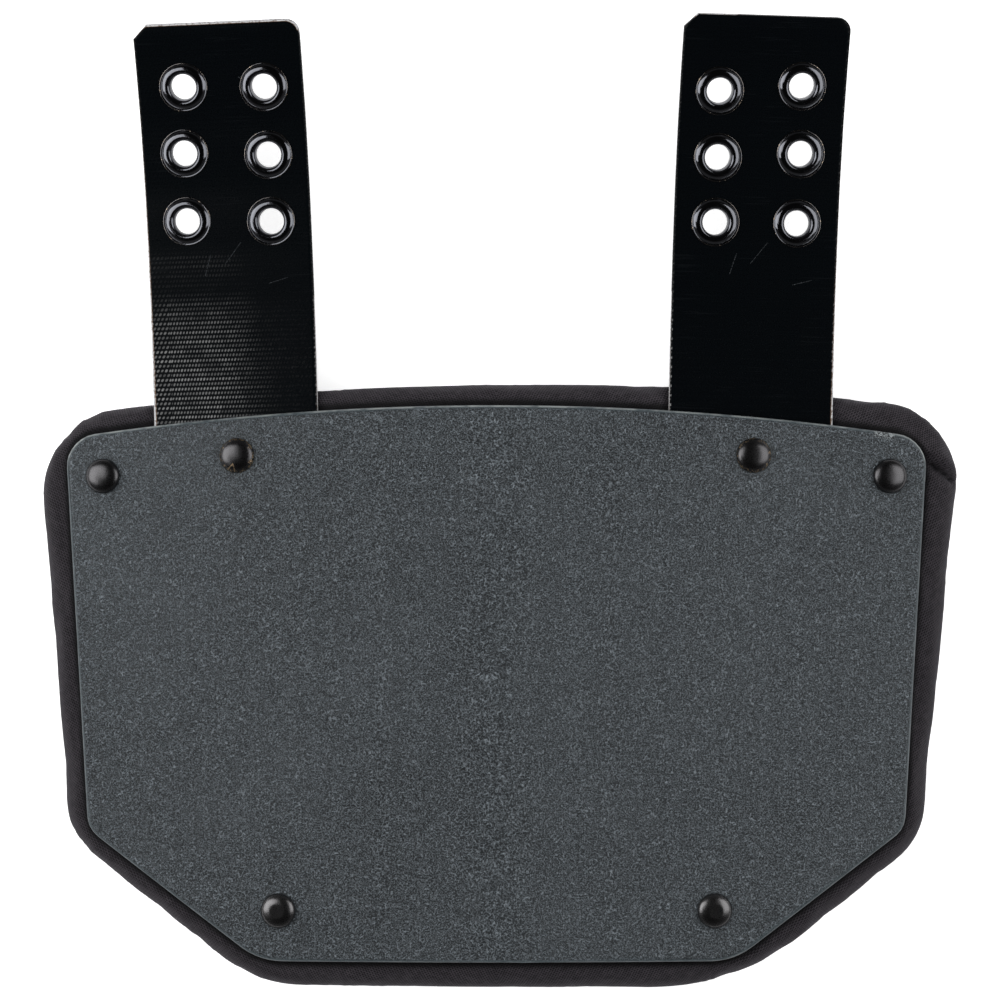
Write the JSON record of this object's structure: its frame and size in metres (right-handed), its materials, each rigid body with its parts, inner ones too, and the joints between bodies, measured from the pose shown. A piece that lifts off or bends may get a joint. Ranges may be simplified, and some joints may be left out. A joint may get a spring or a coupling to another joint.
{
  "type": "football back plate",
  "caption": "Curved plastic back plate on a foam pad, hung from two webbing straps set with eyelets.",
  "frame": {"origin": "on the floor under the middle of the part's box, as it lies on the back of its pad", "axes": "+X across the back, +Y up the straps, +Z out of the plate's face"},
  "size_m": [0.2888, 0.3024, 0.0408],
  "materials": {
    "plate": "fine pebble grain",
    "cover": "woven nylon over foam",
    "webbing": "glossy coated webbing",
    "enamel": "gloss black enamel",
    "rivet": "satin black"
  },
  "bodies": {
    "root": {"back_plate": "plate", "back_pad": "cover", "strap_left": "webbing", "strap_right": "webbing", "eyelet_left_1_outer": "enamel", "eyelet_left_1_inner": "enamel", "eyelet_left_2_outer": "enamel", "eyelet_left_2_inner": "enamel", "eyelet_left_3_outer": "enamel", "eyelet_left_3_inner": "enamel", "eyelet_right_1_outer": "enamel", "eyelet_right_1_inner": "enamel", "eyelet_right_2_outer": "enamel", "eyelet_right_2_inner": "enamel", "eyelet_right_3_outer": "enamel", "eyelet_right_3_inner": "enamel", "rivet_strap_left": "rivet", "rivet_strap_right": "rivet", "rivet_side_left": "rivet", "rivet_side_right": "rivet", "rivet_low_left": "rivet", "rivet_low_right": "rivet"}
  },
  "joints": []
}
